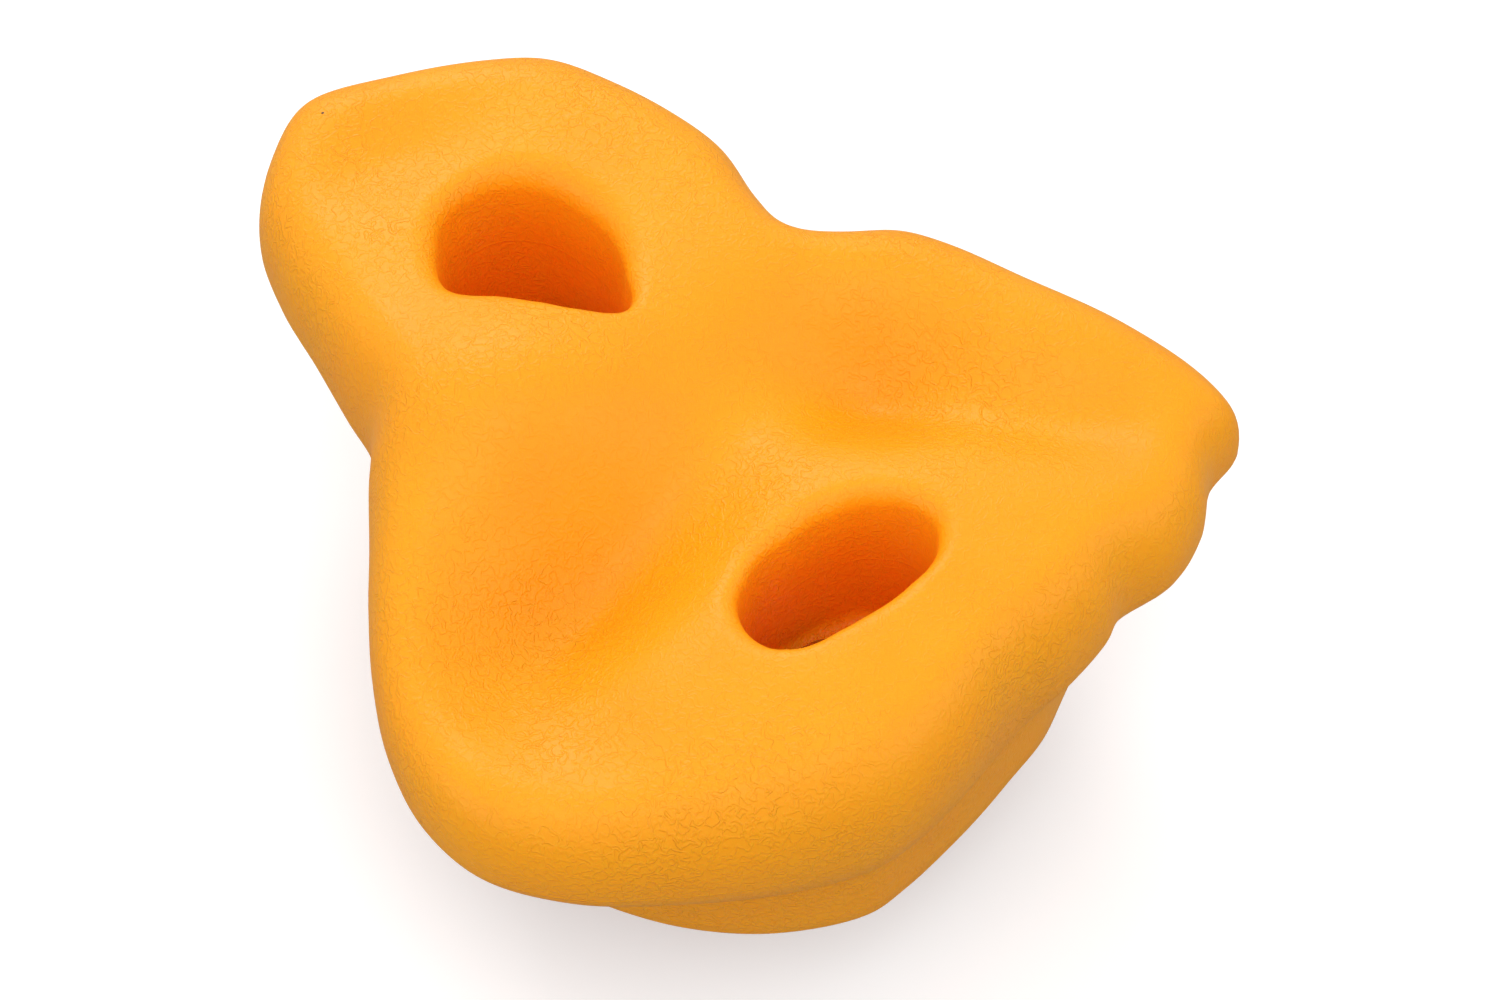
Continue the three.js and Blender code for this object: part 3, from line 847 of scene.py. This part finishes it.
class Tree:
    """Adds and wires shader nodes in one node tree."""

    def __init__(self, tree: NodeTree) -> None:
        """Keeps the nodes and the links of the tree."""
        self.nodes = tree.nodes
        self.links = tree.links

    def add(self, kind: str, settings: dict[str, object] | None = None,
            **values: object) -> Node:
        """Adds a node.

        Args:
            kind: the node's type.
            settings: properties of the node.
            values: what goes into its inputs, written as put takes them.

        Returns:
            The new node.
        """
        node = self.nodes.new(kind)
        for name, value in (settings or {}).items():
            setattr(node, name, value)
        return self.put(node, **values)

    def put(self, node: Node, **values: object) -> Node:
        """Sets or links inputs of a node.

        Args:
            node: the node.
            values: input names, with _ for a blank, and a value or another node's output.

        Returns:
            The same node.
        """
        for name, value in values.items():
            socket = self.socket(node, name)
            if isinstance(value, Socket):
                self.links.new(value, socket)
            else:
                socket.default_value = (*value, 1) if socket.type == "RGBA" else value
        return node

    def socket(self, node: Node, name: str) -> Socket:
        """Finds an enabled input by its name, or by its number written as in_0."""
        if name.startswith("in_"):
            return node.inputs[int(name[3:])]
        wanted = name.replace("_", " ").lower()
        enabled = (socket for socket in node.inputs if socket.enabled)
        return next(socket for socket in enabled if socket.name.lower() == wanted)

    def maths(self, operation: str, first: Socket | float, second: Socket | float = 0.0) -> Socket:
        """Adds a math node and returns its result."""
        node = self.add("ShaderNodeMath", {"operation": operation}, in_0=first, in_1=second)
        return node.outputs[0]

    def ranged(self, mask: Socket, limits: Pair) -> Socket:
        """Spreads a mask from the first limit to the second and returns the result."""
        node = self.add("ShaderNodeMapRange", Value=mask, To_Min=limits[0], To_Max=limits[1])
        return node.outputs["Result"]

    def ridge(self, value: Socket, level: float, reach: float, top: float) -> Socket:
        """Raises a smooth ridge where a value passes a level.

        Args:
            value: the value.
            level: where the ridge has its top.
            reach: how far from the level the ridge ends.
            top: the ridge's height.

        Returns:
            The height.
        """
        away = self.maths("ABSOLUTE", self.maths("SUBTRACT", value, level))
        return self.add("ShaderNodeMapRange", {"interpolation_type": "SMOOTHSTEP"}, Value=away,
                        From_Min=0.0, From_Max=reach, To_Min=top, To_Max=0.0).outputs["Result"]

    def blend(self, mask: Socket, first: Colour | Socket, second: Colour | Socket) -> Socket:
        """Mixes two colours by a mask, 0 for the first and 1 for the second."""
        node = self.add("ShaderNodeMix", {"data_type": "RGBA"}, Factor=mask, A=first, B=second)
        return next(socket for socket in node.outputs if socket.enabled)

    def bump(self, height: Socket) -> Socket:
        """Turns a height in metres into a normal."""
        node = self.add("ShaderNodeBump", Strength=1.0, Distance=1.0, Height=height)
        return node.outputs["Normal"]

    def effect(self, group: Effect, *values: Socket | float) -> Socket:
        """Places an effect's group.

        Args:
            group: the effect.
            values: a value or an output for each of its inputs in turn.

        Returns:
            The effect's output.
        """
        numbered = {f"in_{place}": value for place, value in enumerate(values)}
        return self.add("ShaderNodeGroup", {"node_tree": group}, **numbered).outputs[0]


def new_material(name: str) -> tuple[Material, Tree, Node]:
    """Starts a material and returns it with its tree and its surface shader."""
    made = bpy.data.materials.new(name)
    made.use_nodes = True
    return made, Tree(made.node_tree), made.node_tree.nodes["Principled BSDF"]


class EffectTree(Tree):
    """The inside of an effect: a node group whose inputs and output are numbers."""

    def __init__(self, name: str, inputs: Sequence[str], output: str) -> None:
        """Starts the group.

        Args:
            name: the group's name.
            inputs: the inputs' names.
            output: the output's name.
        """
        self.group = bpy.data.node_groups.new(name, "ShaderNodeTree")
        super().__init__(self.group)
        number = "NodeSocketFloat"
        for label in inputs:
            self.group.interface.new_socket(label, in_out="INPUT", socket_type=number)
        self.group.interface.new_socket(output, in_out="OUTPUT", socket_type=number)
        self.given = self.add("NodeGroupInput").outputs
        self.result = self.add("NodeGroupOutput")
        self.spot = self.add("ShaderNodeTexCoord").outputs["Object"]


def surface_unevenness() -> Effect:
    """Builds the group for a surface that is slightly uneven at two scales.

    Returns:
        A group with Scale, Depth, Swell Scale and Swell Depth inputs and a Height in metres.
    """
    inputs = ("Scale", "Depth", "Swell Scale", "Swell Depth")
    tree = EffectTree("surface_unevenness", inputs, "Height")
    fine = tree.add("ShaderNodeTexNoise", Vector=tree.spot, Scale=tree.given["Scale"],
                    Detail=1.0, Roughness=0.4, Distortion=0.8)
    broad = tree.add("ShaderNodeTexNoise", Vector=tree.spot, Scale=tree.given["Swell Scale"],
                     Detail=1.0)
    grain = tree.ridge(fine.outputs["Fac"], level=0.5, reach=0.12, top=1.0)
    small = tree.maths("MULTIPLY", grain, tree.given["Depth"])
    large = tree.maths("MULTIPLY", broad.outputs["Fac"], tree.given["Swell Depth"])
    tree.put(tree.result, Height=tree.maths("ADD", small, large))
    return tree.group


def patchiness() -> Effect:
    """Builds the group for faint patches in colour, gloss or grain.

    Returns:
        A group with Scale and Contrast inputs and a Mask output from 0 to 1.
    """
    tree = EffectTree("patchiness", ("Scale", "Contrast"), "Mask")
    noise = tree.add("ShaderNodeTexNoise", Vector=tree.spot, Scale=tree.given["Scale"],
                     Detail=3.0)
    middle = 0.5
    centred = tree.maths("SUBTRACT", noise.outputs["Fac"], middle)
    spread = tree.maths("MULTIPLY", centred, tree.given["Contrast"])
    mask = tree.add("ShaderNodeMath", {"operation": "ADD", "use_clamp": True}, in_0=spread,
                    in_1=middle)
    tree.put(tree.result, Mask=mask.outputs[0])
    return tree.group


@dataclass(frozen=True)
class MouldedPlastic:
    """Amber polyethylene with a leather grain, mottling, a few dark specks and a parting line.

    Each field of patches holds their scale and their contrast.
    """

    parting: float
    colour: Colour = (1.0, 0.39, 0.006)
    shade: Colour = (1.0, 0.35, 0.004)
    shade_patches: Pair = (45.0, 1.6)
    speck: Colour = (0.16, 0.07, 0.02)
    speck_cells: float = 28.0
    speck_size: float = 0.009
    roughness: Pair = (0.36, 0.46)
    gloss_patches: Pair = (160.0, 1.5)
    mirror_level: float = 0.25
    grain: float = 640.0
    grain_depth: Pair = (0.04 * MM, 0.11 * MM)
    grain_patches: Pair = (30.0, 4.0)
    swell: float = 70.0
    swell_depth: float = 0.12 * MM
    translucence: float = 0.2
    translucence_tint: Colour = (1.0, 0.35, 0.05)
    translucence_depth: float = 3 * MM
    parting_width: float = 0.3 * MM
    parting_rise: float = 0.06 * MM

    def material(self, unevenness: Effect, patches: Effect) -> Material:
        """Makes the plastic's material.

        Args:
            unevenness: the group for fine and broad unevenness.
            patches: the group for faint patches.

        Returns:
            The material.
        """
        made, tree, surface = new_material("moulded_plastic")
        spot = tree.add("ShaderNodeTexCoord").outputs["Object"]
        base = tree.blend(tree.effect(patches, *self.shade_patches), self.colour, self.shade)
        cells = tree.add("ShaderNodeTexVoronoi", {"feature": "F1"}, Vector=spot,
                         Scale=self.speck_cells)
        dots = tree.maths("LESS_THAN", cells.outputs["Distance"], self.speck_size)
        gloss = tree.effect(patches, *self.gloss_patches)
        depth = tree.ranged(tree.effect(patches, *self.grain_patches), self.grain_depth)
        grain = tree.effect(unevenness, self.grain, depth, self.swell, self.swell_depth)
        height = tree.add("ShaderNodeSeparateXYZ", Vector=spot).outputs["Z"]
        line = tree.ridge(height, self.parting, self.parting_width, self.parting_rise)
        tree.put(surface, Base_Color=tree.blend(dots, base, self.speck),
                 Roughness=tree.ranged(gloss, self.roughness),
                 Specular_IOR_Level=self.mirror_level,
                 Normal=tree.bump(tree.maths("ADD", grain, line)),
                 Subsurface_Weight=self.translucence, Subsurface_Radius=self.translucence_tint,
                 Subsurface_Scale=self.translucence_depth)
        return made


@dataclass(frozen=True)
class ZincPlate:
    """Bright zinc plate on steel, with faint clouding and fine wear.

    Patches hold their scale and contrast, and scuffs what the group for unevenness takes.
    """

    colour: Colour = (0.66, 0.68, 0.71)
    cloud: Colour = (0.52, 0.54, 0.57)
    cloud_patches: Pair = (320.0, 2.2)
    roughness: Pair = (0.22, 0.4)
    scuffs: Sequence[float] = (2600.0, 0.004 * MM, 500.0, 0.01 * MM)

    def material(self, unevenness: Effect, patches: Effect) -> Material:
        """Makes the plated steel's material.

        Args:
            unevenness: the group for fine and broad unevenness.
            patches: the group for faint patches.

        Returns:
            The material.
        """
        made, tree, surface = new_material("zinc_steel")
        cloud = tree.effect(patches, *self.cloud_patches)
        tree.put(surface, Metallic=1.0, Base_Color=tree.blend(cloud, self.colour, self.cloud),
                 Roughness=tree.ranged(cloud, self.roughness),
                 Normal=tree.bump(tree.effect(unevenness, *self.scuffs)))
        return made


# The studio


@dataclass
class Studio:
    """The photograph's camera, a pale floor, a white surround and plain soft lamps."""

    azimuth: float = 52.7
    elevation: float = 60.0
    lens: float = 100.0
    sensor: float = 36.0
    distance: float = 0.68
    aim: tuple[float, float, float] = (0.010, -0.0044, 0.025)
    nearest: float = 10 * MM
    lamp_distance: float = 0.8
    floor_height: float = -31 * MM
    floor_reach: float = 3.0
    floor_tone: Colour = (0.3, 0.3, 0.3)
    floor_glow: float = 0.15
    floor_roughness: float = 0.9
    floor_mirror_level: float = 0.1
    world_strength: float = 0.79
    bounces: int = 24

    def axes(self) -> tuple[Vector, Vector, Vector, Vector]:
        """Finds the camera's right, its up, the way back to it, and the level way from it."""
        turn, tilt = math.radians(self.azimuth), math.radians(self.elevation)
        right = Vector((math.cos(turn), math.sin(turn), 0))
        away = Vector((-math.sin(turn), math.cos(turn), 0))
        back = -away * math.cos(tilt) + Vector((0, 0, math.sin(tilt)))
        return right, back.cross(right), back, away

    def camera(self) -> None:
        """Sets up the camera."""
        right, up, back, away = self.axes()
        target = right * self.aim[0] + away * self.aim[1] + Vector((0, 0, self.aim[2]))
        place = Matrix((right, up, back)).transposed().to_4x4()
        place.translation = target + back * self.distance
        data = bpy.data.cameras.new("camera")
        data.lens = self.lens
        data.sensor_width = self.sensor
        data.clip_start = self.nearest
        camera = bpy.data.objects.new("camera", data)
        camera.matrix_world = place
        bpy.context.collection.objects.link(camera)
        bpy.context.scene.camera = camera

    def lamp(self, way: Vector, size: float, power: float) -> None:
        """Hangs a square soft lamp.

        Args:
            way: direction from the hold to the lamp.
            size: side of the lamp.
            power: its power in watts.
        """
        data = bpy.data.lights.new("soft_lamp", "AREA")
        data.size = size
        data.energy = power
        lamp = bpy.data.objects.new("soft_lamp", data)
        way = way.normalized()
        lamp.location = way * self.lamp_distance
        lamp.rotation_euler = way.to_track_quat("Z", "Y").to_euler()
        bpy.context.collection.objects.link(lamp)

    def world(self) -> None:
        """Makes the surround: white where it is seen or mirrored, softer where it lights."""
        world = bpy.data.worlds.new("surround")
        world.use_nodes = True
        bpy.context.scene.world = world
        tree = Tree(world.node_tree)
        rays = tree.add("ShaderNodeLightPath").outputs
        through = tree.maths("MAXIMUM", rays["Is Glossy Ray"], rays["Is Transmission Ray"])
        seen = tree.maths("MAXIMUM", rays["Is Camera Ray"], through)
        tree.put(tree.nodes["Background"], Color=WHITE,
                 Strength=tree.ranged(seen, (self.world_strength, 1.0)))

    def floor(self) -> None:
        """Lays the pale floor, which is open to the eye from below."""
        shape = bmesh.new()
        bmesh.ops.create_grid(shape, x_segments=1, y_segments=1, size=self.floor_reach,
                              matrix=Matrix.Translation((0, 0, self.floor_height)))
        made, tree, surface = new_material("pale_floor")
        seen = tree.add("ShaderNodeLightPath").outputs["Is Camera Ray"]
        tree.put(surface, Base_Color=tree.blend(seen, self.floor_tone, WHITE),
                 Emission_Color=WHITE,
                 Emission_Strength=tree.maths("MULTIPLY", seen, self.floor_glow),
                 Roughness=self.floor_roughness, Specular_IOR_Level=self.floor_mirror_level)
        below = tree.add("ShaderNodeNewGeometry").outputs["Backfacing"]
        clear = tree.add("ShaderNodeBsdfTransparent").outputs["BSDF"]
        sided = tree.add("ShaderNodeMixShader", in_0=below, in_1=surface.outputs["BSDF"],
                         in_2=clear)
        tree.put(tree.nodes["Material Output"], Surface=sided.outputs[0])
        finished_object("floor", shape, made)

    def build(self) -> None:
        """Builds the whole studio."""
        scene = bpy.context.scene
        scene.view_settings.view_transform = "Standard"
        scene.cycles.max_bounces = self.bounces
        scene.cycles.diffuse_bounces = self.bounces
        self.camera()
        self.world()
        self.floor()
        right, _, back, away = self.axes()
        level = Vector((0, 0, 1))
        self.lamp(away - right * 0.3 + level * 0.8, size=0.4, power=1.9)
        self.lamp(back + level * 0.4, size=0.4, power=0.9)
        self.lamp(right - away * 0.4 + level * 0.6, size=0.5, power=0.8)
        self.lamp(-right - away * 0.7 + level * 0.5, size=0.5, power=0.8)


def main() -> None:
    """Builds the hold, its fixings and the studio."""
    logging.basicConfig(level=logging.INFO, format="%(message)s")
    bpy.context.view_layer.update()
    Studio().build()
    unevenness, patches = surface_unevenness(), patchiness()
    form = HoldForm()
    plastic = MouldedPlastic(form.parting).material(unevenness, patches)
    zinc = ZincPlate().material(unevenness, patches)
    pieces = [HoldMoulding(form, plastic).build()]
    for number, side in ((1, -1), (2, 1)):
        place = Vector((side * form.bolt_spacing / 2, 0, 0))
        pieces += FixingStack(number, place, zinc, form.seat).build()
    for piece in pieces:
        log.info("%s has %d faces", piece.name, len(piece.data.polygons))


if __name__ == "__main__":
    main()
